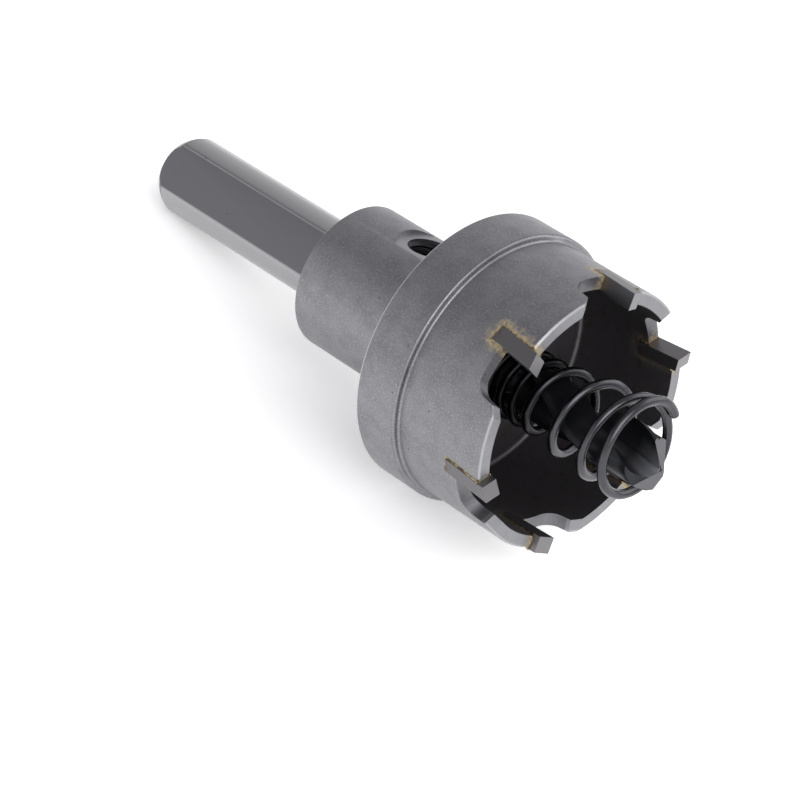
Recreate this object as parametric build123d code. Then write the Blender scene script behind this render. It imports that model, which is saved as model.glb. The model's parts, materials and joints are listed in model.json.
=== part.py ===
from build123d import *
import os
from math import atan2, cos, degrees, hypot, pi, radians, sin, tan

# A hole saw with six brazed carbide tips, a pilot drill and an ejector spring.
# It is drawn upright on its own axis, from the end of the shank (low) to the drill point (high).
# Height 0 is the rear face of the stop band. All angles are measured about that axis from the
# side that ends up underneath, and the saw cuts towards larger angles.
# At the end every piece is laid down as the saw comes to rest. All sizes are millimetres.

# Shank
shank_radius = 6.0
shank_length = 36.75
shank_end_radius = 5.0
shank_taper_length = 1.75
shank_flat_depth = 1.03
shank_flat_count = 3

# Collar that grips the pilot drill
collar_radius = 10.87
collar_length = 23.0
collar_edge = 0.3

# Stop band round the rear of the cup, which stands out past the wall by a step
band_step = 1.0
band_length = 7.3
band_rear_edge = 0.2
band_front_edge = 0.4
band_foot = 0.4

# Cup
wall_radius = 19.0
wall_thickness = 1.9
rim_height = 22.5
rim_edge = 0.25
floor_thickness = 5.4
floor_corner = 0.8

# Carbide tips
tip_count = 6
tip_angle = 46.9
tip_width = 2.2
tip_length = 7.8
tip_reach = 1.65
tip_skew = 6.5
tip_face_relief = 15.0
tip_proud_outside = 0.17
tip_proud_inside = 0.38
braze_gap = 0.12

# Gullets, one ahead of each tip
gullet_lead = 13.0
gullet_depth = 4.35
gullet_floor_end = 2.7
gullet_corner_radius = 2.4
gullet_wall_lean = 10.0
gullet_chamfer_height = 0.9
gullet_chamfer_length = 1.35

# Pilot drill
drill_radius = 4.0
drill_reach = 14.6
drill_grip = 25.0
drill_point_angle = 126.0
drill_point_relief = 34.0
drill_lip_angle = 186.0
drill_rear_edge = 0.4
drill_clearance = 0.02
flute_length = 24.0
flute_lead = 47.0
flute_offset = 3.5
flute_radius = 3.0
flute_angle = 254.5

# Clamping screw in the collar
screw_radius = 3.0
screw_length = 5.0
screw_height = -10.3
screw_angle = 176.5
screw_clearance = 0.02
screw_edge = 0.4
screw_point_radius = 1.6
screw_hex_flats = 3.0
screw_hex_depth = 2.6
drill_flat_depth = 0.4
drill_flat_length = 6.0
spot_face_depth = 0.67
spot_face_radius = 4.6

# Ejector spring, wound left handed on the drill
wire_radius = 0.675
wire_sides = 6
spring_clearance = 0.07
spring_front_radius = 6.85
spring_close_pitch = 2.35
spring_open_pitch = 5.8
spring_close_turns = 4.24
spring_open_turns = 2.75
spring_end_turns = 0.8
spring_opening_blend = 1.0
spring_closing_blend = 0.3
spring_end_angle = 119.0
spring_shift = 1.0
spring_shift_angle = 146.5
spring_points_per_turn = 12

# Derived places
shank_rear = -collar_length - shank_length
shank_flat_distance = shank_radius - shank_flat_depth
band_radius = wall_radius + band_step
bore_radius = wall_radius - wall_thickness
tip_rear_height = rim_height + tip_reach - tip_length
drill_tip_height = rim_height + drill_reach
drill_rear_height = floor_thickness - drill_grip
drill_flat_distance = drill_radius - drill_flat_depth
spot_face_distance = collar_radius - spot_face_depth
upwards = (Align.CENTER, Align.CENTER, Align.MIN)


def turned(points):
    """A solid of revolution about the axis, from its half outline as (radius, height)."""
    outline = make_face(Plane.XZ * Polyline(*points, close=True))
    return revolve(outline, Axis.Z)


def facing_out(angle, height=0.0):
    """A plane on the axis whose Z points outwards at an angle, X round towards larger angles, Y forward."""
    outward = Vector(cos(radians(angle)), sin(radians(angle)), 0)
    along = Vector(-sin(radians(angle)), cos(radians(angle)), 0)
    return Plane(origin=(0, 0, height), x_dir=along, z_dir=outward)


def tip_angles():
    return [tip_angle + 360.0 / tip_count * number for number in range(tip_count)]


def tip_outline(gap=0.0, extra=0.0):
    """The tip seen from outside, as (round, forward) points; gap widens it and extra lengthens its front."""
    half = tip_width / 2 + gap
    lean = radians(tip_skew)
    rear = tip_rear_height - rim_height - gap
    front = tip_reach + extra
    fall = 2 * half * (tan(radians(tip_face_relief)) + tan(lean))
    corners = [(-half, rear), (half, rear), (half, front), (-half, front - fall)]
    return [
        (across * cos(lean) + along * sin(lean), rim_height - across * sin(lean) + along * cos(lean))
        for across, along in corners
    ]


def radial_block(angle, points, inner, outer):
    """Extrudes an outline outwards between two distances from the axis."""
    face = make_face(Polyline(*points, close=True))
    return facing_out(angle) * Pos(0, 0, inner) * extrude(face, outer - inner)


def gullet_cut(tip_place):
    """The milled gullet ahead of a tip, with a round corner, a steep wall and a short chamfer."""
    depth = rim_height - gullet_depth
    wall_top = rim_height - gullet_chamfer_height
    wall_end = gullet_floor_end + (wall_top - depth) * tan(radians(gullet_wall_lean))
    chamfer_end = wall_end + gullet_chamfer_length
    past = rim_height + tip_reach
    back = -wall_radius * sin(radians(gullet_lead))
    points = [
        (back, depth),
        (gullet_floor_end, depth),
        (wall_end, wall_top),
        (chamfer_end, rim_height),
        (chamfer_end, past),
        (back, past),
    ]
    face = make_face(Polyline(*points, close=True))
    corner = face.vertices().sort_by_distance((gullet_floor_end, depth, 0))[0]
    face = fillet(corner, gullet_corner_radius)
    start = bore_radius / 2
    return facing_out(tip_place + gullet_lead) * Pos(0, 0, start) * extrude(face, band_radius - start)


def screw_frame():
    return facing_out(screw_angle, screw_height)


def shank_end():
    """The rear end of the shank, turned down to its end face along an arc about a point on the axis."""
    rise = (shank_radius**2 - shank_end_radius**2 + shank_taper_length**2) / (2 * shank_taper_length)
    ball = Pos(0, 0, shank_rear + rise) * Sphere(hypot(shank_end_radius, rise))
    return ball & Pos(0, 0, shank_rear) * Cylinder(shank_radius, shank_taper_length, align=upwards)


def cutter_body():
    """Shank, collar, stop band and cup, turned from one bar and then milled."""
    body = turned([
        (0, shank_rear + shank_taper_length),
        (shank_radius, shank_rear + shank_taper_length),
        (shank_radius, -collar_length),
        (collar_radius - collar_edge, -collar_length),
        (collar_radius, collar_edge - collar_length),
        (collar_radius, 0),
        (band_radius - band_rear_edge, 0),
        (band_radius, band_rear_edge),
        (band_radius, band_length - band_front_edge),
        (band_radius - band_front_edge, band_length),
        (wall_radius + band_foot, band_length),
        (wall_radius, band_length + band_foot),
        (wall_radius, rim_height - rim_edge),
        (wall_radius - rim_edge, rim_height),
        (bore_radius, rim_height),
        (bore_radius, floor_thickness + floor_corner),
        (bore_radius - floor_corner, floor_thickness),
        (0, floor_thickness),
    ])
    body += shank_end()

    # Three flats for the drill chuck, the full length of the shank
    side = Rectangle(2 * shank_radius, shank_length, align=(Align.CENTER, Align.MIN))
    for number in range(shank_flat_count):
        flat = facing_out(360.0 / shank_flat_count * number, shank_rear)
        body -= flat * Pos(0, 0, shank_flat_distance) * extrude(side, shank_radius)

    # Bore for the pilot drill, and the screw hole with its shallow spot face
    bore = Cylinder(drill_radius + drill_clearance, drill_grip, align=upwards)
    body -= Pos(0, 0, drill_rear_height) * bore
    body -= screw_frame() * Cylinder(screw_radius + screw_clearance, collar_radius, align=upwards)
    spot_face = Cylinder(spot_face_radius, collar_radius, align=upwards)
    body -= screw_frame() * Pos(0, 0, spot_face_distance) * spot_face

    # Seats and gullets round the rim
    for angle in tip_angles():
        body -= radial_block(angle, tip_outline(braze_gap, tip_length), bore_radius / 2, band_radius)
        body -= gullet_cut(angle)
    return body


def carbide_tip(angle):
    """One brazed block, leaning towards the cut, its front ground back from the leading edge."""
    return radial_block(angle, tip_outline(), bore_radius - tip_proud_inside, wall_radius + tip_proud_outside)


def braze_seam(angle):
    """The thin layer of filler that is left between a tip and the three walls of its seat."""
    ring = Cylinder(wall_radius, rim_height, align=upwards)
    ring -= Cylinder(bore_radius, rim_height, align=upwards)
    seat = radial_block(angle, tip_outline(braze_gap), bore_radius / 2, band_radius)
    tip = radial_block(angle, tip_outline(0, braze_gap), bore_radius / 2, band_radius)
    return (seat & ring) - tip - gullet_cut(angle)


def drill_flank(angle):
    """All that lies in front of one ground flank, which falls outwards and behind its cutting lip."""
    fall_out = Vector(cos(radians(angle)), sin(radians(angle)), 0) / tan(radians(drill_point_angle / 2))
    fall_back = Vector(sin(radians(angle)), -cos(radians(angle)), 0) * tan(radians(drill_point_relief))
    flank = Plane(origin=(0, 0, drill_tip_height), z_dir=Vector(0, 0, 1) + fall_out + fall_back)
    side = 4 * drill_radius
    return flank * Box(side, side, side, align=upwards)


def pilot_drill():
    """A twist drill with two flutes, two ground flanks and a flat for the clamping screw."""
    drill = turned([
        (0, drill_rear_height),
        (drill_radius - drill_rear_edge, drill_rear_height),
        (drill_radius, drill_rear_height + drill_rear_edge),
        (drill_radius, drill_tip_height),
        (0, drill_tip_height),
    ])
    path = Helix(flute_lead, flute_length + drill_radius, flute_offset)
    cutter = sweep(Plane(origin=path @ 0, z_dir=path % 0) * Circle(flute_radius), path, is_frenet=True)
    cutter += Pos(*(path @ 0)) * Sphere(flute_radius)
    turn = flute_angle - 360.0 * flute_length / flute_lead
    for half_turn in (0, 180):
        drill -= Pos(0, 0, drill_tip_height - flute_length) * Rot(0, 0, turn + half_turn) * cutter
        drill -= drill_flank(drill_lip_angle + half_turn)
    notch = Rectangle(2 * drill_radius, drill_flat_length)
    drill -= screw_frame() * Pos(0, 0, drill_flat_distance) * extrude(notch, drill_radius)
    return drill


def grub_screw():
    """A socket set screw with a flat point, pressed on the flat of the pilot drill."""
    screw = turned([
        (0, 0),
        (screw_point_radius, 0),
        (screw_radius, screw_radius - screw_point_radius),
        (screw_radius, screw_length - screw_edge),
        (screw_radius - screw_edge, screw_length),
        (0, screw_length),
    ])
    across_corners = screw_hex_flats / cos(pi / 6)
    socket = extrude(RegularPolygon(across_corners / 2, 6), screw_hex_depth)
    screw -= Pos(0, 0, screw_length - screw_hex_depth) * socket
    return screw_frame() * Pos(0, 0, drill_flat_distance) * screw


def smooth(value):
    """Rises from 0 to 1 with level ends."""
    value = min(1.0, max(0.0, value))
    return value * value * (3 - 2 * value)


def spring_line():
    """The centre line of the spring: close turns on the drill, open turns that widen, and a closed end."""
    rear_radius = drill_radius + spring_clearance + wire_radius
    front_turns = spring_open_turns + spring_end_turns
    turns = spring_close_turns + front_turns
    count = round(turns * spring_points_per_turn)
    step = turns / count
    side = radians(spring_shift_angle)
    height = floor_thickness + wire_radius
    points = []
    for number in range(count + 1):
        turn = number * step
        past_close = turn - spring_close_turns
        opened = smooth(past_close / spring_opening_blend + 0.5)
        closed = smooth((past_close - spring_open_turns) / spring_closing_blend + 0.5)
        along = max(0.0, past_close) / front_turns
        angle = radians(spring_end_angle + 360 * (turns - turn))
        radius = rear_radius + (spring_front_radius - rear_radius) * sin(pi / 2 * along)
        points.append((
            radius * cos(angle) + spring_shift * along * cos(side),
            radius * sin(angle) + spring_shift * along * sin(side),
            height,
        ))
        pitch = spring_close_pitch + (spring_open_pitch - spring_close_pitch) * opened
        height += pitch * (1 - closed) * step
    return Spline(*points)


def ejector_spring():
    path = spring_line()
    section = Plane(origin=path @ 0, z_dir=path % 0) * RegularPolygon(wire_radius, wire_sides)
    return sweep(section, path, is_frenet=True)


def resting_place():
    """Lays the saw down on one flat of the shank and the rear edge of the band, centred over the origin."""
    drop = band_radius - shank_flat_distance
    tilt = degrees(atan2(drop, band_rear_edge - shank_rear))
    along = cos(radians(tilt))
    rise = sin(radians(tilt))
    rear_end = shank_rear * along - shank_end_radius * rise
    front_end = drill_tip_height * along
    lift = band_radius * along - band_rear_edge * rise
    return Pos(-(rear_end + front_end) / 2, 0, lift) * Rot(0, 90 - tilt, 0)


def main():
    pieces = {
        "cutter_body": cutter_body(),
        "pilot_drill": pilot_drill(),
        "grub_screw": grub_screw(),
        "ejector_spring": ejector_spring(),
    }
    for number, angle in enumerate(tip_angles(), start=1):
        pieces[f"carbide_tip_{number}"] = carbide_tip(angle)
        pieces[f"braze_seam_{number}"] = braze_seam(angle)
    place = resting_place()
    os.makedirs("parts", exist_ok=True)
    for name, piece in pieces.items():
        export_step(place * piece, f"parts/{name}.step")


main()
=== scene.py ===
import json
import math
import bmesh
import bpy
from mathutils import Matrix, Vector, noise


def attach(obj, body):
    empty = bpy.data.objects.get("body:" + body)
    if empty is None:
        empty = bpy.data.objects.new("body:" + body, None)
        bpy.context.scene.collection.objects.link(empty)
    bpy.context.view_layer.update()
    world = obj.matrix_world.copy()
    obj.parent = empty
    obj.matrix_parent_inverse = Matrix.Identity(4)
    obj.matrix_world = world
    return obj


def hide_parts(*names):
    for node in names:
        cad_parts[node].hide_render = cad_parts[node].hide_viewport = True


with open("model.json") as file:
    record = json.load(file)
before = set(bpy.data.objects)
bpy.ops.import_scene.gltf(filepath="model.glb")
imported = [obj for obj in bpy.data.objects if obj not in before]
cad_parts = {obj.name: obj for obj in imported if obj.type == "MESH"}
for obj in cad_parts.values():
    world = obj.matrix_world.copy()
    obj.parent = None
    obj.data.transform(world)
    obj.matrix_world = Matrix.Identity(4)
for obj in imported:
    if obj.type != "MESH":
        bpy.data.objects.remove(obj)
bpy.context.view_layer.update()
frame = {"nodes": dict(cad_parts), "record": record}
nodes = frame["nodes"]
mm = 0.001
mergeMm = 0.0005      # points nearer than this are one
cutMm = 0.00001       # points nearer than this lie on a cutting plane
print("stage: frame loaded")

# The saw's own sizes in mm, as the part has them: height 0 is the rear face of the stop band
saw = {
    "shankRadius": 6.0, "shankEndRadius": 5.0, "shankRear": -59.75, "flatDistance": 4.97,
    "collarRear": -23.0, "collarRadius": 10.87, "bandRadius": 20.0, "bandRearEdge": 0.2,
    "wallRadius": 19.0, "boreRadius": 17.1, "rimHeight": 22.5, "floorHeight": 5.4, "gulletDepth": 4.35,
    "tipCount": 6, "tipAngle": 46.9, "tipHalf": 1.1, "tipRear": -6.15, "tipLean": 6.5, "brazeGap": 0.12,
    "drillTip": 37.1, "drillRadius": 4.0, "screwAngle": 176.5, "screwHeight": -10.3,
    "spotFaceDepth": 0.67, "spotFaceRadius": 4.6,
}


def sawFrame():
    # The saw lies on a shank flat and the rear edge of the band, centred over the origin
    tilt = math.atan2(saw["bandRadius"] - saw["flatDistance"], saw["bandRearEdge"] - saw["shankRear"])
    along, rise = math.cos(tilt), math.sin(tilt)
    rearEnd = saw["shankRear"] * along - saw["shankEndRadius"] * rise
    frontEnd = saw["drillTip"] * along
    lift = saw["bandRadius"] * along - saw["bandRearEdge"] * rise
    place = Matrix.Translation((-(rearEnd + frontEnd) / 2, 0, lift))
    return Matrix.Scale(mm, 4) @ place @ Matrix.Rotation(math.pi / 2 - tilt, 4, "Y")


sawToRow = sawFrame()


def facingOut(angle, height=0.0):
    # X runs round towards larger angles, Y forward and Z outwards, as the part's own planes do
    turn = math.radians(angle)
    outward = Vector((math.cos(turn), math.sin(turn), 0))
    around = Vector((-math.sin(turn), math.cos(turn), 0))
    return Matrix.Translation((0, 0, height)) @ Matrix((around, (0, 0, 1), outward)).transposed().to_4x4()


def toLinear(hexColour):
    # sRGB hex to the linear colour that sockets take
    channels = [int(hexColour[k:k + 2], 16) / 255 for k in (1, 3, 5)]
    return [c / 12.92 if c <= 0.04045 else ((c + 0.055) / 1.055) ** 2.4 for c in channels] + [1.0]


# Camera, fitted to the photograph: a 36 mm wide frame of 800 by 800
cameraSet = {
    "lens": 141.293, "sensor": 36.0, "clipStart": 0.01,
    "placeMm": (205.7379, -289.9975, 265.9104),
    "turnDeg": (50.96185, -18.78710, 49.29267),
}
cameraData = bpy.data.cameras.new("camera")
cameraData.lens = cameraSet["lens"]
cameraData.sensor_width = cameraSet["sensor"]
cameraData.sensor_fit = "HORIZONTAL"
cameraData.clip_start = cameraSet["clipStart"]
camera = bpy.data.objects.new("camera", cameraData)
bpy.context.scene.collection.objects.link(camera)
camera.location = [v * mm for v in cameraSet["placeMm"]]
camera.rotation_euler = [math.radians(v) for v in cameraSet["turnDeg"]]
bpy.context.scene.camera = camera
print("stage: camera set")


def newMaterial(name):
    material = bpy.data.materials.new(name)
    material.use_nodes = True
    tree = material.node_tree
    shader = next(n for n in tree.nodes if n.type == "BSDF_PRINCIPLED")
    return material, tree, shader


def addNode(tree, kind, settings=None, links=None):
    # settings: input values or properties; links: input to the socket that feeds it, or to a node's first
    node = tree.nodes.new("ShaderNode" + kind)
    for key, value in (settings or {}).items():
        if isinstance(key, int) or key in node.inputs:
            node.inputs[key].default_value = value
        else:
            setattr(node, key, value)
    for key, source in (links or {}).items():
        socket = source.outputs[0] if isinstance(source, bpy.types.Node) else source
        tree.links.new(socket, node.inputs[key])
    return node


def sawCoordinates(tree):
    # Object coordinates turned into the saw's own frame, in mm
    coords = addNode(tree, "TexCoord")
    back = sawToRow.inverted()
    turned = addNode(tree, "Mapping", {
        "Location": back.translation, "Rotation": back.to_euler(), "Scale": back.to_scale(),
    }, {"Vector": coords.outputs["Object"]})
    return turned.outputs["Vector"]


def seatCoordinates(tree, coords):
    # Distance from the saw's axis, height, and a point's place beside the nearest tip, all in mm
    parts = addNode(tree, "SeparateXYZ", {}, {0: coords})
    flat = addNode(tree, "VectorMath", {"operation": "MULTIPLY", 1: (1, 1, 0)}, {0: coords})
    radius = addNode(tree, "VectorMath", {"operation": "LENGTH"}, {0: flat}).outputs["Value"]
    turn = addNode(tree, "Math", {"operation": "ARCTAN2"}, {0: parts.outputs["Y"], 1: parts.outputs["X"]})
    fromTip = addNode(tree, "Math", {"operation": "SUBTRACT", 1: math.radians(saw["tipAngle"])}, {0: turn})
    half = math.pi / saw["tipCount"]
    nearest = addNode(tree, "Math", {"operation": "WRAP", 1: half, 2: -half}, {0: fromTip})
    side = addNode(tree, "Math", {"operation": "MULTIPLY"}, {0: nearest, 1: radius})
    below = addNode(tree, "Math", {"operation": "SUBTRACT", 1: saw["rimHeight"]}, {0: parts.outputs["Z"]})
    place = addNode(tree, "CombineXYZ", {}, {"X": side, "Y": below})
    leaned = addNode(tree, "Mapping", {"Rotation": (0, 0, math.radians(saw["tipLean"]))}, {"Vector": place})
    local = addNode(tree, "SeparateXYZ", {}, {0: leaned})
    return {"radius": radius, "height": parts.outputs["Z"],
            "across": local.outputs["X"], "along": local.outputs["Y"]}


def seatDistance(tree, seat):
    # How far a point lies from the outline of the tip's seat
    sideways = addNode(tree, "Math", {"operation": "ABSOLUTE"}, {0: seat["across"]})
    sideGap = addNode(tree, "Math", {"operation": "SUBTRACT", 1: saw["tipHalf"]}, {0: sideways})
    sideOut = addNode(tree, "Math", {"operation": "MAXIMUM", 1: 0.0}, {0: sideGap})
    rearGap = addNode(tree, "Math", {"operation": "SUBTRACT", 0: saw["tipRear"]}, {1: seat["along"]})
    rearOut = addNode(tree, "Math", {"operation": "MAXIMUM", 1: 0.0}, {0: rearGap})
    both = addNode(tree, "CombineXYZ", {}, {"X": sideOut, "Y": rearOut})
    return addNode(tree, "VectorMath", {"operation": "LENGTH"}, {0: both}).outputs["Value"]


# A finish that ends at the cup's wall fades between these two distances from it
wallFade = {"nearMm": 0.02, "farMm": 0.1}


def blastedGround(tree, coords, seat):
    # Mottled grey with sparkling grains. The shank is ground instead of blasted, its flats painted darker as
    # shade
    look = {
        "steel": "#929295", "dark": "#868689", "light": "#a0a0a4", "shank": "#a5a5a7", "flat": "#77777a",
        "grainMm": 0.24,      # the real grain is finer, near 0.1 mm
        "mottleMm": 2.6, "behindCollarMm": 0.05, "flatInwardsMm": 0.03,
    }
    grain = addNode(tree, "TexNoise", {"Scale": 1 / look["grainMm"], "Detail": 2.0}, {"Vector": coords})
    mottle = addNode(tree, "TexNoise", {"Scale": 1 / look["mottleMm"], "Detail": 4.0}, {"Vector": coords})
    cloud = addNode(tree, "MapRange", {"From Min": 0.35, "From Max": 0.65}, {"Value": mottle})
    base = addNode(tree, "Mix", {"data_type": "RGBA", 6: toLinear(look["dark"]), 7: toLinear(look["steel"])},
                   {0: cloud})
    sparkle = addNode(tree, "MapRange", {"From Min": 0.48, "From Max": 0.72}, {"Value": grain})
    grained = addNode(tree, "Mix", {"data_type": "RGBA", 7: toLinear(look["light"])},
                      {0: sparkle, 6: base.outputs[2]})
    onShank = addNode(tree, "Math", {"operation": "LESS_THAN", 1: saw["collarRear"] - look["behindCollarMm"]},
                      {0: seat["height"]})
    # painted shade: the shank's flats get a darker grey
    onShadedFlat = addNode(tree, "Math", {"operation": "LESS_THAN", 1: saw["shankRadius"] - look["flatInwardsMm"]},
                      {0: seat["radius"]})
    shankShade = addNode(tree, "Mix", {"data_type": "RGBA", 6: toLinear(look["shank"]),
                                       7: toLinear(look["flat"])}, {0: onShadedFlat})
    blasted = addNode(tree, "Mix", {"data_type": "RGBA"},
                      {0: onShank, 6: grained.outputs[2], 7: shankShade.outputs[2]})
    return blasted.outputs[2], grain, onShank


def cupShadeAndStains(tree, coords, seat, under):
    # Inside, the cup's steel is painted darker as shade, with brown stains of flux
    look = {"steel": "#6c696c", "stain": "#5c5142", "stainPerMm": 0.45, "stained": 0.8,
            "floorFromMm": 0.3, "floorToMm": 0.1}
    within = addNode(tree, "MapRange", {"From Min": saw["boreRadius"] + wallFade["farMm"],
                                        "From Max": saw["boreRadius"] + wallFade["nearMm"]},
                     {"Value": seat["radius"]})
    ahead = addNode(tree, "MapRange", {"From Min": saw["floorHeight"] - look["floorFromMm"],
                                       "From Max": saw["floorHeight"] - look["floorToMm"]},
                    {"Value": seat["height"]})
    inside = addNode(tree, "Math", {"operation": "MULTIPLY"}, {0: within, 1: ahead})
    flux = addNode(tree, "TexNoise", {"Scale": look["stainPerMm"], "Detail": 6.0, "Roughness": 0.7},
                   {"Vector": coords})
    fluxed = addNode(tree, "MapRange", {"From Min": 0.56, "From Max": 0.74, "To Max": look["stained"]},
                     {"Value": flux})
    # painted shade inside the cup, mixed with real flux stains
    shadedLining = addNode(tree, "Mix", {"data_type": "RGBA", 6: toLinear(look["steel"]),
                                   7: toLinear(look["stain"])}, {0: fluxed})
    insideShaded = addNode(tree, "Mix", {"data_type": "RGBA"}, {0: inside, 6: under, 7: shadedLining.outputs[2]})
    return insideShaded.outputs[2], inside


def milledRim(tree, seat, under):
    # The rim and the gullets, between the two walls in front. The gullets below the rim are painted darker as
    # shade
    look = {"milled": "#98989b", "groove": "#8c8c8f", "gullet": "#77777a", "millingMm": 0.2,
            "aheadOfFloorMm": 6.0, "rimMm": 1.5, "grooveShare": 0.5}
    outer = addNode(tree, "MapRange", {"From Min": saw["wallRadius"] - wallFade["nearMm"],
                                       "From Max": saw["wallRadius"] - wallFade["farMm"]},
                    {"Value": seat["radius"]})
    inner = addNode(tree, "MapRange", {"From Min": saw["boreRadius"] + wallFade["nearMm"],
                                       "From Max": saw["boreRadius"] + wallFade["farMm"]},
                    {"Value": seat["radius"]})
    millFrom = saw["floorHeight"] + look["aheadOfFloorMm"]
    front = addNode(tree, "Math", {"operation": "GREATER_THAN", 1: millFrom}, {0: seat["height"]})
    between = addNode(tree, "Math", {"operation": "MULTIPLY"}, {0: outer, 1: inner})
    milled = addNode(tree, "Math", {"operation": "MULTIPLY"}, {0: between, 1: front})
    alongWall = addNode(tree, "CombineXYZ", {}, {"X": seat["across"], "Y": seat["along"]})
    lines = addNode(tree, "TexNoise", {"Scale": 1 / look["millingMm"], "Detail": 1.0},
                    {"Vector": alongWall})      # a cutter's marks run straight through the wall
    lineDepth = addNode(tree, "MapRange", {"From Min": 0.35, "From Max": 0.65}, {"Value": lines})
    foremost = addNode(tree, "Math", {"operation": "GREATER_THAN", 1: saw["rimHeight"] - look["rimMm"]},
                       {0: seat["height"]})
    # painted shade: the gullets below the rim get a darker grey than the rim
    rimAndShadedGullets = addNode(tree, "Mix", {"data_type": "RGBA", 6: toLinear(look["gullet"]),
                                  7: toLinear(look["milled"])}, {0: foremost})
    shaded = addNode(tree, "Math", {"operation": "SUBTRACT", 0: 1.0}, {1: lineDepth})
    faint = addNode(tree, "Math", {"operation": "MULTIPLY", 1: look["grooveShare"]}, {0: shaded})
    lineShade = addNode(tree, "Mix", {"data_type": "RGBA", 7: toLinear(look["groove"])},
                        {0: faint, 6: rimAndShadedGullets.outputs[2]})
    cut = addNode(tree, "Mix", {"data_type": "RGBA"}, {0: milled, 6: under, 7: lineShade.outputs[2]})
    return cut.outputs[2], milled, foremost


def edgeSheenAndWear(tree, seat, milled, foremost, under):
    # Edges painted bright, as highlight and as rub wear: the rim's outer edge and the rear edge of the band
    look = {"worn": "#d2d2d5", "rimSheenAndWear": 0.35, "rimFromMm": 0.4, "rimToMm": 0.2,
            "bandSheenAndWear": 0.8, "bandMm": 0.3, "bandFromMm": 0.34, "bandToMm": 0.24}
    rimEdge = addNode(tree, "MapRange", {"From Min": saw["wallRadius"] - look["rimFromMm"],
                                         "From Max": saw["wallRadius"] - look["rimToMm"],
                                         "To Max": look["rimSheenAndWear"]}, {"Value": seat["radius"]})
    onRim = addNode(tree, "Math", {"operation": "MULTIPLY"}, {0: milled, 1: foremost})
    onRimEdge = addNode(tree, "Math", {"operation": "MULTIPLY"}, {0: rimEdge, 1: onRim})
    farOut = addNode(tree, "Math", {"operation": "GREATER_THAN", 1: saw["bandRadius"] - look["bandMm"]},
                     {0: seat["radius"]})
    rearward = addNode(tree, "MapRange", {"From Min": look["bandFromMm"], "From Max": look["bandToMm"],
                                          "To Max": look["bandSheenAndWear"]}, {"Value": seat["height"]})
    onRearEdge = addNode(tree, "Math", {"operation": "MULTIPLY"}, {0: farOut, 1: rearward})
    sheenAndWearMask = addNode(tree, "Math", {"operation": "ADD"}, {0: onRimEdge, 1: onRearEdge})
    edgeSheen = addNode(tree, "Mix", {"data_type": "RGBA", 7: toLinear(look["worn"])}, {0: sheenAndWearMask, 6: under})
    return edgeSheen.outputs[2]


def paleSpotFace(tree, coords, under):
    # The spot face round the screw hole is milled last and stays pale
    look = {"milled": "#a4a4a7", "withinMm": 0.04, "beyondMm": 0.02}
    outward = facingOut(saw["screwAngle"]).col[2].to_3d()
    lift = addNode(tree, "VectorMath", {"operation": "DOT_PRODUCT", 1: outward}, {0: coords})
    flat = addNode(tree, "Math", {"operation": "COMPARE", 1: saw["collarRadius"] - saw["spotFaceDepth"],
                                  2: look["withinMm"]}, {0: lift.outputs["Value"]})
    fromScrew = addNode(tree, "VectorMath", {"operation": "SUBTRACT", 1: (0, 0, saw["screwHeight"])},
                        {0: coords})
    crossed = addNode(tree, "VectorMath", {"operation": "CROSS_PRODUCT", 1: outward}, {0: fromScrew})
    aside = addNode(tree, "VectorMath", {"operation": "LENGTH"}, {0: crossed})
    near = addNode(tree, "Math", {"operation": "LESS_THAN", 1: saw["spotFaceRadius"] + look["beyondMm"]},
                   {0: aside.outputs["Value"]})
    spot = addNode(tree, "Math", {"operation": "MULTIPLY"}, {0: flat, 1: near})
    spotted = addNode(tree, "Mix", {"data_type": "RGBA", 7: toLinear(look["milled"])}, {0: spot, 6: under})
    return spotted.outputs[2]


def smallPits(tree, coords, under):
    # One cell in about thirty has a small dark pit at its middle
    look = {"pit": "#3c3c3e", "cellMm": 1.1, "rareAbove": 0.97, "edge": 0.2, "middle": 0.1, "darkness": 0.55}
    pits = addNode(tree, "TexVoronoi", {"Scale": 1 / look["cellMm"]}, {"Vector": coords})
    chosen = addNode(tree, "SeparateColor", {}, {0: pits.outputs["Color"]})
    rare = addNode(tree, "Math", {"operation": "GREATER_THAN", 1: look["rareAbove"]}, {0: chosen})
    core = addNode(tree, "MapRange", {"From Min": look["edge"], "From Max": look["middle"],
                                      "To Max": look["darkness"]}, {"Value": pits.outputs["Distance"]})
    pitted = addNode(tree, "Math", {"operation": "MULTIPLY"}, {0: core, 1: rare})
    specked = addNode(tree, "Mix", {"data_type": "RGBA", 7: toLinear(look["pit"])}, {0: pitted, 6: under})
    return specked.outputs[2]


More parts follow.
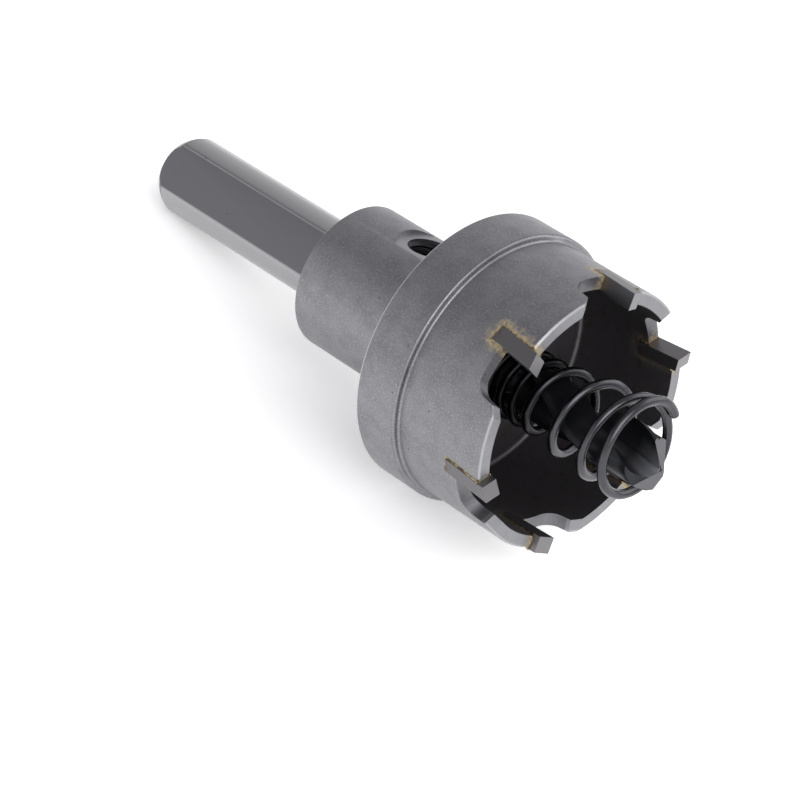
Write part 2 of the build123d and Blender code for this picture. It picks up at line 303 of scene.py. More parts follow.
def brazeStain(tree, coords, seat, inside, under):
    # Braze has run over the steel round each tip and left it straw coloured, brown where it was hottest, and
    # painted darker inside the cup as shade
    look = {
        "straw": "#c2b187", "heat": "#8c7a6c", "inside": "#54483a", "cover": 0.85, "full": 0.35,
        "leastMm": 0.8, "mostMm": 1.9, "raggedPerMm": 1.3, "patchPerMm": 2.4, "belowRimMm": 9.0,
        "cleanAtMm": 5.5, "cleanMm": 4.5, "usualMm": 8.0, "cleanShare": 0.3,
    }
    gap = seatDistance(tree, seat)
    ragged = addNode(tree, "TexNoise", {"Scale": look["raggedPerMm"], "Detail": 4.0, "Roughness": 0.55},
                     {"Vector": coords})
    reach = addNode(tree, "MapRange", {"From Min": 0.38, "From Max": 0.62, "To Min": look["leastMm"],
                                       "To Max": look["mostMm"]}, {"Value": ragged})
    places = addNode(tree, "SeparateXYZ", {}, {0: coords})
    fromClean = addNode(tree, "Math", {"operation": "SUBTRACT", 1: look["cleanAtMm"]},
                        {0: places.outputs["X"]})
    farFromClean = addNode(tree, "Math", {"operation": "ABSOLUTE"}, {0: fromClean})
    amount = addNode(tree, "MapRange", {"From Min": look["cleanMm"], "From Max": look["usualMm"],
                                        "To Min": look["cleanShare"]},
                     {"Value": farFromClean})      # hardly any ran out at the lower left tip
    wide = addNode(tree, "Math", {"operation": "MULTIPLY"}, {0: reach, 1: amount})
    ratio = addNode(tree, "Math", {"operation": "DIVIDE"}, {0: gap, 1: wide})
    straw = addNode(tree, "MapRange", {"From Min": 1.0, "From Max": look["full"], "To Max": look["cover"]},
                    {"Value": ratio})
    nearRim = addNode(tree, "Math", {"operation": "GREATER_THAN", 1: saw["rimHeight"] - look["belowRimMm"]},
                      {0: seat["height"]})
    onWall = addNode(tree, "Math", {"operation": "MULTIPLY"}, {0: straw, 1: nearRim})
    patch = addNode(tree, "TexNoise", {"Scale": look["patchPerMm"], "Detail": 5.0, "Roughness": 0.65},
                    {"Vector": coords})
    tone = addNode(tree, "MapRange", {"From Min": 0.42, "From Max": 0.62}, {"Value": patch})
    stained = addNode(tree, "Mix", {"data_type": "RGBA", 6: toLinear(look["straw"]),
                                    7: toLinear(look["heat"])}, {0: tone})
    # painted shade: inside the cup the brown stain is given a darker colour
    stain = addNode(tree, "Mix", {"data_type": "RGBA", 7: toLinear(look["inside"])},
                    {0: inside, 6: stained.outputs[2]})
    colour = addNode(tree, "Mix", {"data_type": "RGBA"}, {0: onWall, 6: under, 7: stain.outputs[2]})
    return colour.outputs[2], onWall


def blastedSteel():
    # Alloy steel, turned and milled, then bead blasted: matt mid grey. The ground shank is smoother
    look = {"roughness": 0.46, "milledRoughness": 0.5, "shankRoughness": 0.28, "stainMetallic": 0.35,
            "grainDepthMm": 0.024, "grainStrength": 0.6, "shankStrength": 0.15}
    material, tree, shader = newMaterial("blastedSteel")
    coords = sawCoordinates(tree)
    seat = seatCoordinates(tree, coords)
    ground, grain, onShank = blastedGround(tree, coords, seat)
    insideShaded, inside = cupShadeAndStains(tree, coords, seat, ground)
    cut, milled, foremost = milledRim(tree, seat, insideShaded)
    worn = edgeSheenAndWear(tree, seat, milled, foremost, cut)
    spotted = paleSpotFace(tree, coords, worn)
    pitted = smallPits(tree, coords, spotted)
    colour, stained = brazeStain(tree, coords, seat, inside, pitted)

    cutRough = addNode(tree, "MapRange", {"To Min": look["roughness"], "To Max": look["milledRoughness"]},
                       {"Value": milled})
    rough = addNode(tree, "MapRange", {"To Max": look["shankRoughness"]},
                    {"Value": onShank, "To Min": cutRough})
    metallic = addNode(tree, "MapRange", {"To Min": 1.0, "To Max": look["stainMetallic"]}, {"Value": stained})
    depth = addNode(tree, "MapRange", {"To Min": look["grainStrength"], "To Max": look["shankStrength"]},
                    {"Value": onShank})
    bump = addNode(tree, "Bump", {"Distance": look["grainDepthMm"] * mm},
                   {"Height": grain, "Strength": depth})
    tree.links.new(colour, shader.inputs["Base Color"])
    tree.links.new(rough.outputs[0], shader.inputs["Roughness"])
    tree.links.new(metallic.outputs[0], shader.inputs["Metallic"])
    tree.links.new(bump.outputs["Normal"], shader.inputs["Normal"])
    return material


def blackOxideSteel():
    # High speed steel with a black oxide skin: nearly black and glossy in the flutes.
    # The flanks and the narrow margins are ground bare, a plain mid grey with fine lines.
    look = {
        "oxide": "#292a2e", "worn": "#393a3e", "fluteHighlight": "#85868c", "ground": "#656568",
        "oxideRoughness": 0.36, "groundRoughness": 0.42, "oxideMetallic": 0.8,
        "cloudMm": 1.8, "lineMm": 0.12, "lineDepthMm": 0.004, "lineStrength": 0.2,
        "highlightFromMm": 5.0, "highlightToMm": 1.5, "highlightOuter": 3.2, "highlightInner": 2.0, "highlightShare": 0.8,
    }
    material, tree, shader = newMaterial("blackOxideSteel")
    coords = sawCoordinates(tree)
    seat = seatCoordinates(tree, coords)
    cloud = addNode(tree, "TexNoise", {"Scale": 1 / look["cloudMm"], "Detail": 5.0}, {"Vector": coords})
    oxide = addNode(tree, "Mix", {"data_type": "RGBA", 6: toLinear(look["oxide"]),
                                  7: toLinear(look["worn"])}, {0: cloud})
    # painted highlight: a paler grey on the flutes near the lips, where they glint
    highlightAlong = addNode(tree, "MapRange", {"From Min": saw["drillTip"] - look["highlightFromMm"],
                                       "From Max": saw["drillTip"] - look["highlightToMm"],
                                       "To Max": look["highlightShare"]}, {"Value": seat["height"]})
    within = addNode(tree, "MapRange", {"From Min": look["highlightOuter"], "From Max": look["highlightInner"]},
                     {"Value": seat["radius"]})
    atLip = addNode(tree, "Math", {"operation": "MULTIPLY"}, {0: highlightAlong, 1: within})
    sides = addNode(tree, "Attribute", {"attribute_name": "flute"})
    highlightMask = addNode(tree, "Math", {"operation": "MULTIPLY"}, {0: atLip, 1: sides.outputs["Fac"]})
    fluteHighlight = addNode(tree, "Mix", {"data_type": "RGBA", 7: toLinear(look["fluteHighlight"])},
                     {0: highlightMask, 6: oxide.outputs[2]})      # painted highlight on the flutes near the lips
    bare = addNode(tree, "Attribute", {"attribute_name": "ground"})
    colour = addNode(tree, "Mix", {"data_type": "RGBA", 7: toLinear(look["ground"])},
                     {0: bare.outputs["Fac"], 6: fluteHighlight.outputs[2]})
    metallic = addNode(tree, "MapRange", {"To Min": look["oxideMetallic"], "To Max": 1.0},
                       {"Value": bare.outputs["Fac"]})
    rough = addNode(tree, "MapRange", {"To Min": look["oxideRoughness"], "To Max": look["groundRoughness"]},
                    {"Value": bare.outputs["Fac"]})
    lines = addNode(tree, "TexNoise", {"Scale": 1 / look["lineMm"], "Detail": 1.0}, {"Vector": coords})
    bump = addNode(tree, "Bump", {"Strength": look["lineStrength"], "Distance": look["lineDepthMm"] * mm},
                   {"Height": lines})
    tree.links.new(colour.outputs[2], shader.inputs["Base Color"])
    tree.links.new(rough.outputs[0], shader.inputs["Roughness"])
    tree.links.new(metallic.outputs[0], shader.inputs["Metallic"])
    tree.links.new(bump.outputs["Normal"], shader.inputs["Normal"])
    return material


def blackScrewSteel():
    # Socket screw steel, oiled black: dark and half matt, cloudy where the oil is thin
    look = {"dark": "#202022", "worn": "#3a3a3d", "roughness": 0.45, "cloudMm": 0.8}
    material, tree, shader = newMaterial("blackScrewSteel")
    coords = sawCoordinates(tree)
    shader.inputs["Metallic"].default_value = 1.0
    shader.inputs["Roughness"].default_value = look["roughness"]
    cloud = addNode(tree, "TexNoise", {"Scale": 1 / look["cloudMm"], "Detail": 4.0}, {"Vector": coords})
    colour = addNode(tree, "Mix", {"data_type": "RGBA", 6: toLinear(look["dark"]),
                                   7: toLinear(look["worn"])}, {0: cloud})
    tree.links.new(colour.outputs[2], shader.inputs["Base Color"])
    return material


def drawnSpringWire():
    # Hard drawn spring wire, blackened: dark and glossy, with small streaks; the turns deep in the cup are
    # painted darker as shade
    look = {"black": "#48484c", "grey": "#545458", "shadedDeep": "#1b1b1d", "streakMm": 0.35,
            "leastRoughness": 0.23, "mostRoughness": 0.29, "shadeStartFrom": 20.5, "shadeFullFrom": 16.0}
    material, tree, shader = newMaterial("drawnSpringWire")
    coords = sawCoordinates(tree)
    shader.inputs["Metallic"].default_value = 1.0
    streak = addNode(tree, "TexNoise", {"Scale": 1 / look["streakMm"], "Detail": 3.0}, {"Vector": coords})
    bare = addNode(tree, "Mix", {"data_type": "RGBA", 6: toLinear(look["black"]),
                                 7: toLinear(look["grey"])}, {0: streak})
    parts = addNode(tree, "SeparateXYZ", {}, {0: coords})
    deep = addNode(tree, "MapRange", {"From Min": look["shadeStartFrom"], "From Max": look["shadeFullFrom"]},
                   {"Value": parts.outputs["Z"]})
    colour = addNode(tree, "Mix", {"data_type": "RGBA", 7: toLinear(look["shadedDeep"])},
                     {0: deep, 6: bare.outputs[2]})      # the close turns deep in the cup are painted darker as shade
    rough = addNode(tree, "MapRange", {"To Min": look["leastRoughness"], "To Max": look["mostRoughness"]},
                    {"Value": streak})
    tree.links.new(colour.outputs[2], shader.inputs["Base Color"])
    tree.links.new(rough.outputs[0], shader.inputs["Roughness"])
    return material


def groundCarbide():
    # Tungsten carbide, sintered and ground: smooth dark grey sides, and a paler ground front face.
    # Heat from brazing has left the buried end brownish.
    look = {"side": "#787678", "front": "#868486", "heat": "#6e5a56", "roughness": 0.38, "lineMm": 0.15,
            "lineDepthMm": 0.006, "lineStrength": 0.25, "raggedPerMm": 1.2, "raggedMm": 3.0,
            "heatFrom": -3.6, "heatTo": -4.9, "heatShare": 0.7}
    material, tree, shader = newMaterial("groundCarbide")
    coords = sawCoordinates(tree)
    seat = seatCoordinates(tree, coords)
    shader.inputs["Metallic"].default_value = 1.0
    shader.inputs["Roughness"].default_value = look["roughness"]
    frontFace = addNode(tree, "Attribute", {"attribute_name": "ground"})
    face = addNode(tree, "Mix", {"data_type": "RGBA", 6: toLinear(look["side"]), 7: toLinear(look["front"])},
                   {0: frontFace.outputs["Fac"]})
    ragged = addNode(tree, "TexNoise", {"Scale": look["raggedPerMm"], "Detail": 3.0}, {"Vector": coords})
    shifted = addNode(tree, "Math", {"operation": "MULTIPLY_ADD", 1: look["raggedMm"]},
                      {0: ragged, 2: seat["along"]})
    burnt = addNode(tree, "MapRange", {"From Min": look["heatFrom"], "From Max": look["heatTo"],
                                       "To Max": look["heatShare"]}, {"Value": shifted})
    colour = addNode(tree, "Mix", {"data_type": "RGBA", 7: toLinear(look["heat"])},
                     {0: burnt, 6: face.outputs[2]})
    lines = addNode(tree, "TexNoise", {"Scale": 1 / look["lineMm"], "Detail": 2.0}, {"Vector": coords})
    bump = addNode(tree, "Bump", {"Strength": look["lineStrength"], "Distance": look["lineDepthMm"] * mm},
                   {"Height": lines})
    tree.links.new(colour.outputs[2], shader.inputs["Base Color"])
    tree.links.new(bump.outputs["Normal"], shader.inputs["Normal"])
    return material


def silverBraze():
    # Silver brazing alloy, melted and left as it ran: brass yellow, lumpy, olive where flux stayed
    look = {"yellow": "#cbbf97", "olive": "#857a58", "brown": "#6f5c4e", "roughness": 0.38, "lumpMm": 0.5,
            "lumpDepthMm": 0.03, "lumpStrength": 0.5, "brownPerMm": 0.7}
    material, tree, shader = newMaterial("silverBraze")
    coords = sawCoordinates(tree)
    shader.inputs["Metallic"].default_value = 1.0
    shader.inputs["Roughness"].default_value = look["roughness"]
    lumps = addNode(tree, "TexNoise", {"Scale": 1 / look["lumpMm"], "Detail": 4.0}, {"Vector": coords})
    tone = addNode(tree, "MapRange", {"From Min": 0.4, "From Max": 0.6}, {"Value": lumps})
    mixed = addNode(tree, "Mix", {"data_type": "RGBA", 6: toLinear(look["olive"]),
                                  7: toLinear(look["yellow"])}, {0: tone})
    patch = addNode(tree, "TexNoise", {"Scale": look["brownPerMm"]}, {"Vector": coords})
    browned = addNode(tree, "MapRange", {"From Min": 0.5, "From Max": 0.64}, {"Value": patch})
    colour = addNode(tree, "Mix", {"data_type": "RGBA", 7: toLinear(look["brown"])},
                     {0: browned, 6: mixed.outputs[2]})
    bump = addNode(tree, "Bump", {"Strength": look["lumpStrength"], "Distance": look["lumpDepthMm"] * mm},
                   {"Height": lumps})
    tree.links.new(colour.outputs[2], shader.inputs["Base Color"])
    tree.links.new(bump.outputs["Normal"], shader.inputs["Normal"])
    return material


materials = {
    "blasted_steel": blastedSteel(),
    "drill_steel": blackOxideSteel(),
    "screw_steel": blackScrewSteel(),
    "spring_steel": drawnSpringWire(),
    "carbide": groundCarbide(),
    "braze": silverBraze(),
}
for row in frame["record"]["subparts"]:
    piece = nodes[row["node"]]
    piece.material_slots[0].link = "OBJECT"
    piece.material_slots[0].material = materials[row["material_slot"]]
print("stage: materials")


def finishPiece(name, mesh, slot, replaced=()):
    # Brings a mesh drawn in the saw's frame into the row frame and lets it ride
    mesh.transform(sawToRow)
    piece = bpy.data.objects.new(name, mesh)
    bpy.context.scene.collection.objects.link(piece)
    mesh.materials.append(materials[slot])
    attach(piece, "root")
    for node in replaced:
        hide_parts(node)
    return piece


def meshFrom(build, name, sharpAngle):
    # Ends a bmesh as a smooth mesh that keeps its sharp edges
    mesh = bpy.data.meshes.new(name)
    build.to_mesh(mesh)
    build.free()
    mesh.shade_smooth()
    mesh.set_sharp_from_angle(angle=math.radians(sharpAngle))
    return mesh


def evenNormals(piece):
    # Broad faces keep their own normals, and only the narrow ones beside them shade round
    even = piece.modifiers.new("evenNormals", "WEIGHTED_NORMAL")
    even.weight = 100
    even.keep_sharp = True
    return piece


def copyOfNode(node):
    # A CAD node's mesh in the saw's frame, its loose triangles merged
    build = bmesh.new()
    build.from_mesh(nodes[node].data)
    build.transform(sawToRow.inverted())
    bmesh.ops.remove_doubles(build, verts=build.verts, dist=mergeMm)
    return build


def tubeMesh(name, points, radii, sides=16):
    # A round tube along points, with its own radius at each, ends closed
    curve = bpy.data.curves.new(name, "CURVE")
    curve.dimensions = "3D"
    curve.bevel_depth = 1.0
    curve.bevel_resolution = sides // 2 - 2
    curve.use_fill_caps = True
    line = curve.splines.new("POLY")
    line.points.add(len(points) - 1)
    for point, place, radius in zip(line.points, points, radii):
        point.co = (*place, 1.0)
        point.radius = radius
    holder = bpy.data.objects.new(name, curve)
    mesh = bpy.data.meshes.new_from_object(holder)
    bpy.data.objects.remove(holder)
    mesh.name = name
    return mesh


# Body: the CAD solid, with its small bevels behind the gullets shaded as the soft edges that blasting leaves
body = {"flatAngle": 1.0, "softAngle": 50.0, "sharpAngle": 30.0, "softBelow": 11.4}


def makeBody():
    build = copyOfNode("cutter_body")
    bmesh.ops.dissolve_limit(build, angle_limit=math.radians(body["flatAngle"]), verts=build.verts,
                             edges=build.edges)
    for face in build.faces:
        face.smooth = True
    for edge in build.edges:
        behind = max(vert.co.z for vert in edge.verts) < body["softBelow"]
        limit = body["softAngle"] if behind else body["sharpAngle"]
        edge.smooth = edge.calc_face_angle(0) < math.radians(limit)
    mesh = bpy.data.meshes.new("sawBody")
    build.to_mesh(mesh)
    build.free()
    return evenNormals(finishPiece("sawBody", mesh, "blasted_steel", ["cutter_body"]))


makeBody()
print("stage: body")


# Ejector spring: the same line as the part's, with round wire
spring = {
    "wireRadius": 0.675, "clearance": 0.07, "frontRadius": 6.85,
    "closePitch": 2.35, "openPitch": 5.8, "closeTurns": 4.24, "openTurns": 2.75, "endTurns": 0.8,
    "openingBlend": 1.0, "closingBlend": 0.3, "endAngle": 119.0, "shift": 1.0, "shiftAngle": 146.5,
    "pointsPerTurn": 40, "sharpAngle": 50.0,
}


def smooth(value):
    value = min(1.0, max(0.0, value))
    return value * value * (3 - 2 * value)


def springPoints():
    rear = saw["drillRadius"] + spring["clearance"] + spring["wireRadius"]
    frontTurns = spring["openTurns"] + spring["endTurns"]
    turns = spring["closeTurns"] + frontTurns
    count = round(turns * spring["pointsPerTurn"])
    side = math.radians(spring["shiftAngle"])
    height = saw["floorHeight"] + spring["wireRadius"]
    points = []
    for number in range(count + 1):
        turn = number * turns / count
        pastClose = turn - spring["closeTurns"]
        opened = smooth(pastClose / spring["openingBlend"] + 0.5)      # each blend is centred on its place
        closed = smooth((pastClose - spring["openTurns"]) / spring["closingBlend"] + 0.5)
        along = max(0.0, pastClose) / frontTurns
        angle = math.radians(spring["endAngle"] + 360 * (turns - turn))
        radius = rear + (spring["frontRadius"] - rear) * math.sin(math.pi / 2 * along)
        shift = spring["shift"] * along
        points.append((radius * math.cos(angle) + shift * math.cos(side),
                       radius * math.sin(angle) + shift * math.sin(side), height))
        pitch = spring["closePitch"] + (spring["openPitch"] - spring["closePitch"]) * opened
        height += pitch * (1 - closed) * turns / count
    return points


def makeSpring():
    points = springPoints()
    mesh = tubeMesh("springWire", points, [spring["wireRadius"]] * len(points))
    mesh.shade_smooth()
    mesh.set_sharp_from_angle(angle=math.radians(spring["sharpAngle"]))
    return finishPiece("springWire", mesh, "spring_steel", ["ejector_spring"])


makeSpring()
print("stage: spring")


# Pilot drill: a twist drill with straight lips, raised margins and two ground flanks
drill = {
    "landRadius": 3.66, "marginTurn": 10.0, "stepTurn": 3.0, "halfWeb": 0.5, "lipAngle": 186.5,
    "pointAngle": 130.0, "relief": 25.0, "heelFall": 44.3, "heelTurn": 89.2, "heelTop": 0.2, "lead": 47.0,
    "fluteOffset": 2.45, "fluteRadius": 1.97, "fluteAhead": 78.5, "fluteFrom": 268.0,
    "start": 10.0, "runOut": 4.5, "top": 37.4, "steps": 110,
    "rakePoints": 14, "flutePoints": 16, "landPoints": 14, "marginPoints": 5,
    "marginSlack": 0.03, "marginBare": 0.35, "sameWay": 0.9999, "sharpAngle": 25.0,
}


def polar(radius, degrees):
    return Vector((radius * math.cos(math.radians(degrees)), radius * math.sin(math.radians(degrees))))


def drillHalfOutline():
    # Half the section at the tip's height, X along the lip: rake face, flute, land and margin
    fall = 1 / math.tan(math.radians(drill["pointAngle"] / 2))
    rise = math.tan(math.radians(drill["relief"]))
    halfWeb = drill["halfWeb"]
    lipEnd = math.sqrt(saw["drillRadius"] ** 2 - halfWeb ** 2)
    lipStart = halfWeb * rise / fall
    points = []
    for number in range(drill["rakePoints"]):
        out = lipEnd + (lipStart - lipEnd) * number / (drill["rakePoints"] - 1)
        twist = (out * fall - halfWeb * rise) * 2 * math.pi / drill["lead"]
        points.append(Matrix.Rotation(twist, 2) @ Vector((out, halfWeb)))
    margin = math.degrees(math.atan2(points[0].y, points[0].x))

    centre = polar(drill["fluteOffset"], drill["fluteAhead"])
    spread = drill["landRadius"] ** 2 + drill["fluteOffset"] ** 2 - drill["fluteRadius"] ** 2
    opening = math.degrees(math.acos(spread / (2 * drill["landRadius"] * drill["fluteOffset"])))
    heel = drill["fluteAhead"] + opening
    toHeel = polar(drill["landRadius"], heel) - centre
    first = drill["fluteFrom"]
    last = math.degrees(math.atan2(toHeel.y, toHeel.x)) % 360
    for number in range(drill["flutePoints"]):
        turn = first + (last - first) * number / (drill["flutePoints"] - 1)
        points.append(centre + polar(drill["fluteRadius"], turn))

    marginStart = 180 + margin - drill["marginTurn"]
    landEnd = marginStart - drill["stepTurn"]
    for number in range(1, drill["landPoints"]):
        turn = heel + (landEnd - heel) * number / (drill["landPoints"] - 1)
        points.append(polar(drill["landRadius"], turn))
    for number in range(drill["marginPoints"]):
        turn = marginStart + drill["marginTurn"] * number / drill["marginPoints"]
        points.append(polar(saw["drillRadius"], turn))
    return points


def drillHeel(angle):
    # The plane ground off behind a flank, which falls towards the heel of the land
    fall = math.radians(drill["heelFall"])
    turn = math.radians(angle + drill["heelTurn"])
    return Vector((math.sin(fall) * math.cos(turn), math.sin(fall) * math.sin(turn), math.cos(fall)))


def drillFlank(angle):
    # The plane of one ground flank, which falls outwards and behind its lip
    turn = math.radians(angle)
    outward = Vector((math.cos(turn), math.sin(turn), 0)) / math.tan(math.radians(drill["pointAngle"] / 2))
    behind = Vector((math.sin(turn), -math.cos(turn), 0)) * math.tan(math.radians(drill["relief"]))
    return (Vector((0, 0, 1)) + outward + behind).normalized()


def closeOpenings(build):
    bmesh.ops.holes_fill(build, edges=[edge for edge in build.edges if edge.is_boundary])


def cutAbove(build, height, facet):
    # Takes off all that lies beyond a plane through the axis at that height, and closes the cut
    everything = build.verts[:] + build.edges[:] + build.faces[:]
    bmesh.ops.bisect_plane(build, geom=everything, dist=cutMm, plane_co=(0, 0, height), plane_no=facet,
                           clear_outer=True)
    closeOpenings(build)


def twistFlutes(build):
    # The section is drawn up along the flutes' lead, and they run out towards the plain shank
    half = drillHalfOutline()
    outline = half + [-point for point in half]
    turn = math.radians(drill["lipAngle"] + (drill["start"] - saw["drillTip"]) * 360 / drill["lead"])
    place = Matrix.Translation((0, 0, drill["start"])) @ Matrix.Rotation(turn, 4, "Z")
    corners = [build.verts.new(place @ Vector((point.x, point.y, 0))) for point in outline]
    ring = [build.edges.new((corners[k - 1], corners[k])) for k in range(len(corners))]
    rise = drill["top"] - drill["start"]
    bmesh.ops.spin(build, geom=corners + ring, cent=(0, 0, 0), axis=(0, 0, 1),
                   dvec=(0, 0, rise / drill["steps"]), angle=rise * 2 * math.pi / drill["lead"],
                   steps=drill["steps"], use_duplicate=False)
    for vert in build.verts:
        past = (vert.co.z - drill["start"]) / drill["runOut"]
        if past < 1:
            deep = math.sqrt(1 - (1 - past) ** 2)
            here = math.hypot(vert.co.x, vert.co.y)
            wanted = saw["drillRadius"] - (saw["drillRadius"] - here) * deep
            vert.co.x *= wanted / here
            vert.co.y *= wanted / here
    closeOpenings(build)
    bmesh.ops.recalc_face_normals(build, faces=build.faces)


def grindPoint(build):
    # Two flanks and two heel planes, and notes on each face of what was ground bare and what is flute
    ground = build.faces.layers.float.new("ground")
    flute = build.faces.layers.float.new("flute")
    lips = (drill["lipAngle"], drill["lipAngle"] + 180)
    for angle in lips:
        cutAbove(build, saw["drillTip"], drillFlank(angle))
        cutAbove(build, saw["drillTip"] + drill["heelTop"], drillHeel(angle))
    for face in build.faces:
        middle = face.calc_center_median()
        flank = any(abs(face.normal.dot(drillFlank(angle))) > drill["sameWay"] for angle in lips)
        heel = any(abs(face.normal.dot(drillHeel(angle))) > drill["sameWay"] for angle in lips)
        farOut = middle.xy.length > saw["drillRadius"] - drill["marginSlack"]
        onMargin = farOut and middle.z > drill["start"] + drill["runOut"]
        face[ground] = 1.0 if flank else drill["marginBare"] if onMargin else 0.0
        face[flute] = 0.0 if heel else 1.0
    bmesh.ops.recalc_face_normals(build, faces=build.faces)


def makeDrill():
    build = bmesh.new()
    twistFlutes(build)
    grindPoint(build)

    # The plain shank below, with the flat under the clamping screw, comes from the CAD node
    shank = copyOfNode("pilot_drill")
    cutAbove(shank, drill["start"], (0, 0, 1))
    below = bpy.data.meshes.new("drillShank")
    shank.to_mesh(below)
    shank.free()
    build.from_mesh(below)
    mesh = meshFrom(build, "twistDrill", drill["sharpAngle"])
    return finishPiece("twistDrill", mesh, "drill_steel", ["pilot_drill"])


makeDrill()
print("stage: drill")


# Thread in the screw hole of the collar, above the screw
holeThread = {"radius": 3.02, "depth": 0.42, "pitch": 0.85, "from": 8.75, "turns": 1.15, "steps": 46,
              "sharpAngle": 30.0}


def makeHoleThread():
    build = bmesh.new()
    inside = holeThread["radius"] - holeThread["depth"]
    half = holeThread["pitch"] / 2
    corners = [build.verts.new(place) for place in (
        (holeThread["radius"], 0, holeThread["from"] - half), (inside, 0, holeThread["from"]),
        (holeThread["radius"], 0, holeThread["from"] + half))]
    face = build.faces.new(corners)
    bmesh.ops.spin(build, geom=corners + face.edges[:] + [face], cent=(0, 0, 0), axis=(0, 0, 1),
                   dvec=(0, 0, holeThread["pitch"] * holeThread["turns"] / holeThread["steps"]),
                   angle=2 * math.pi * holeThread["turns"], steps=holeThread["steps"], use_duplicate=False)
    bmesh.ops.recalc_face_normals(build, faces=build.faces)
    build.transform(facingOut(saw["screwAngle"], saw["screwHeight"]))
    return finishPiece("holeThread", meshFrom(build, "holeThread", holeThread["sharpAngle"]), "screw_steel")


makeHoleThread()
print("stage: screw hole")


# Carbide tips: the CAD blocks with their edges broken
tip = {"edge": 0.05, "frontFaceTurn": 40.0, "flatAngle": 2.0, "sharpAngle": 40.0}


def makeTip(number):
    node = "carbide_tip_" + str(number)
    build = copyOfNode(node)
    bmesh.ops.dissolve_limit(build, angle_limit=math.radians(tip["flatAngle"]), verts=build.verts,
                             edges=build.edges)
    ground = build.faces.layers.float.new("ground")
    forward = Vector((0, 0, 1))
    for face in build.faces:
        front = face.normal.angle(forward) < math.radians(tip["frontFaceTurn"])
        face[ground] = 1.0 if front else 0.0
    bmesh.ops.bevel(build, geom=build.edges[:], offset=tip["edge"], offset_type="OFFSET", affect="EDGES",
                    segments=2, profile=0.5, material=-1, clamp_overlap=True)
    mesh = meshFrom(build, "carbideTip", tip["sharpAngle"])
    return evenNormals(finishPiece("carbideTip" + str(number), mesh, "carbide", [node]))


# Braze beads: what ran out of the seam, along the outside and the inside of the wall
bead = {
    "outerRadius": 0.14, "innerRadius": 0.18, "cornerBlob": 0.34, "blobPoints": 3, "blobStep": 0.03,
    "thinnest": 0.05, "swell": 0.5, "swellPerMm": 1.3, "roughen": 0.07, "roughenPerMm": 2.2, "seed": 3,
    "belowRim": 0.15, "pastGullet": 0.25, "pointsPerMm": 6, "sides": 12, "sharpAngle": 60.0,
}


def seatLine(wall, gap):
    # The seat's outline as the wall shows it, from the rim's trailing corner round to the gullet
    half = saw["tipHalf"] + gap
    rear = saw["tipRear"] - gap
    corners = [(-half, -bead["belowRim"]), (-half, rear), (half, rear),
               (half, -saw["gulletDepth"] - bead["pastGullet"])]
    lean = math.radians(saw["tipLean"])
    points = []
    for (x0, y0), (x1, y1) in zip(corners, corners[1:]):
        count = max(2, round(math.hypot(x1 - x0, y1 - y0) * bead["pointsPerMm"]))
        for number in range(count + (x1 == half and y0 == rear)):
            across = x0 + (x1 - x0) * number / count
            along = y0 + (y1 - y0) * number / count
            side = across * math.cos(lean) + along * math.sin(lean)
            forward = saw["rimHeight"] - across * math.sin(lean) + along * math.cos(lean)
            points.append(Vector((side, forward, math.sqrt(wall ** 2 - side ** 2))))
    return points


def makeBead(number):
    angle = saw["tipAngle"] + 360 / saw["tipCount"] * (number - 1)
    joined = bmesh.new()
    for wall, radius in ((saw["wallRadius"], bead["outerRadius"]), (saw["boreRadius"], bead["innerRadius"])):
        points = [facingOut(angle) @ point for point in seatLine(wall, saw["brazeGap"] / 2)]
        radii = []
        for k, point in enumerate(points):
            swell = 1 + bead["swell"] * noise.noise(point * bead["swellPerMm"])
            blob = max(bead["thinnest"], bead["cornerBlob"] - bead["blobStep"] * k)
            radii.append(blob if k < bead["blobPoints"] else radius * swell)
        joined.from_mesh(tubeMesh("bead", points, radii, bead["sides"]))
    for vert in joined.verts:
        vert.co += bead["roughen"] * noise.noise_vector(vert.co * bead["roughenPerMm"])
    mesh = meshFrom(joined, "brazeBead", bead["sharpAngle"])
    return finishPiece("brazeBead" + str(number), mesh, "braze")


noise.seed_set(bead["seed"])      # without a seed, noise_vector differs from run to run
for number in range(1, saw["tipCount"] + 1):
    makeTip(number)
    makeBead(number)
print("stage: tips and braze")


# Floor, backdrop and light
studio = {
    "floorSize": 8.0, "floorColour": "#ffffff", "floorShadeGrey": "#cacacc", "floorRoughness": 0.9,
    "floorGlow": 0.34, "fadeDirection": (-0.566, -0.824, 0), "fadeFrom": 0.05, "fadeTo": 0.11,
    "brightFrom": 0.3, "brightTo": 0.8,
    "worldFront": "#9d9da0", "worldHorizon": "#e9e9eb", "worldBack": "#e6e6e8", "worldStrength": 1.0,
    "backFrom": -0.25, "backTo": 0.85, "horizonFrom": 0.45, "horizonTo": 0.2,
    "keyPlace": (0.75, -0.45, 0.85), "keySize": 1.0, "keyPower": 9.0,
    "fillPlace": (0.2, 0.9, 0.7), "fillSize": 1.0, "fillPower": 4.0,
}


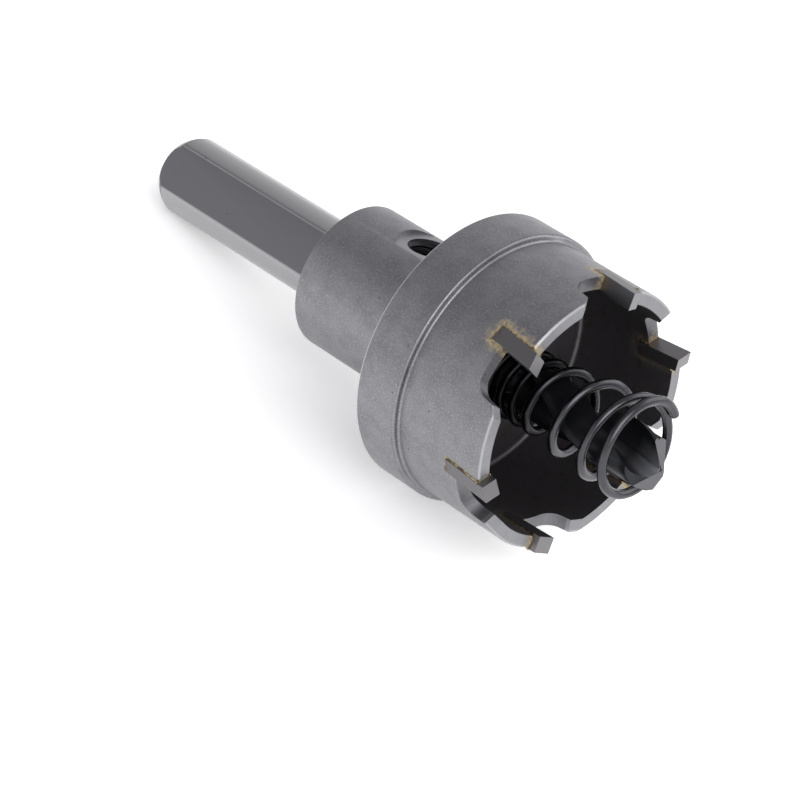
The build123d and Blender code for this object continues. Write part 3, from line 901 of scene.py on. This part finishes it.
def makeFloor():
    # White paper, painted grey as shadow beyond the picture's left edge, where the saw's lower side mirrors
    # it, and from there to the tone of the horizon
    build = bmesh.new()
    bmesh.ops.create_grid(build, x_segments=1, y_segments=1, size=studio["floorSize"] / 2)
    mesh = bpy.data.meshes.new("floor")
    build.to_mesh(mesh)
    build.free()
    floor = bpy.data.objects.new("floor", mesh)
    bpy.context.scene.collection.objects.link(floor)
    material, tree, shader = newMaterial("whitePaper")
    shader.inputs["Roughness"].default_value = studio["floorRoughness"]
    coords = addNode(tree, "TexCoord")
    leftward = addNode(tree, "VectorMath", {"operation": "DOT_PRODUCT", 1: studio["fadeDirection"]},
                       {0: coords.outputs["Object"]})
    fade = addNode(tree, "MapRange", {"interpolation_type": "SMOOTHSTEP", "From Min": studio["fadeFrom"],
                                      "From Max": studio["fadeTo"]}, {"Value": leftward.outputs["Value"]})
    distance = addNode(tree, "MapRange", {"From Min": studio["brightFrom"], "From Max": studio["brightTo"]},
                       {"Value": leftward.outputs["Value"]})
    around = addNode(tree, "Mix", {"data_type": "RGBA", 6: toLinear(studio["floorShadeGrey"]),
                                   7: toLinear(studio["worldHorizon"])}, {0: distance})
    paper = addNode(tree, "Mix", {"data_type": "RGBA", 6: toLinear(studio["floorColour"])},
                    {0: fade, 7: around.outputs[2]})
    tree.links.new(paper.outputs[2], shader.inputs["Base Color"])
    tree.links.new(paper.outputs[2], shader.inputs["Emission Color"])
    path = addNode(tree, "LightPath")
    seen = addNode(tree, "Math", {"operation": "MAXIMUM"},
                   {0: path.outputs["Is Camera Ray"], 1: path.outputs["Is Glossy Ray"]})
    shown = addNode(tree, "Math", {"operation": "MAXIMUM"}, {0: seen, 1: path.outputs["Is Transmission Ray"]})
    glow = addNode(tree, "Math", {"operation": "MULTIPLY", 1: studio["floorGlow"]}, {0: shown})
    tree.links.new(glow.outputs[0], shader.inputs["Emission Strength"])
    mesh.materials.append(material)
    return floor


def makeWorld():
    # Darker in front than behind, as the room round a white table is, with a bright low horizon
    world = bpy.data.worlds.new("studio")
    bpy.context.scene.world = world
    world.use_nodes = True
    tree = world.node_tree
    background = tree.nodes["Background"]
    background.inputs["Strength"].default_value = studio["worldStrength"]
    coords = addNode(tree, "TexCoord")
    parts = addNode(tree, "SeparateXYZ", {}, {0: coords.outputs["Generated"]})
    behind = addNode(tree, "MapRange", {"From Min": studio["backFrom"], "From Max": studio["backTo"]},
                     {"Value": parts.outputs["Y"]})
    low = addNode(tree, "MapRange", {"interpolation_type": "SMOOTHSTEP", "From Min": studio["horizonFrom"],
                                     "From Max": studio["horizonTo"]}, {"Value": parts.outputs["Z"]})
    ahead = addNode(tree, "Mix", {"data_type": "RGBA", 6: toLinear(studio["worldFront"]),
                                  7: toLinear(studio["worldHorizon"])}, {0: low})
    sky = addNode(tree, "Mix", {"data_type": "RGBA", 7: toLinear(studio["worldBack"])},
                  {0: behind, 6: ahead.outputs[2]})
    tree.links.new(sky.outputs[2], background.inputs["Color"])


def makeLamp(name, place, size, power):
    lamp = bpy.data.lights.new(name, "AREA")
    lamp.size = size
    lamp.energy = power
    holder = bpy.data.objects.new(name, lamp)
    bpy.context.scene.collection.objects.link(holder)
    holder.location = place
    holder.rotation_euler = (-Vector(place)).to_track_quat("-Z", "Y").to_euler()


makeFloor()
makeWorld()
makeLamp("key", studio["keyPlace"], studio["keySize"], studio["keyPower"])
makeLamp("fill", studio["fillPlace"], studio["fillSize"], studio["fillPower"])
bpy.context.scene.view_settings.view_transform = "Standard"
print("stage: studio")
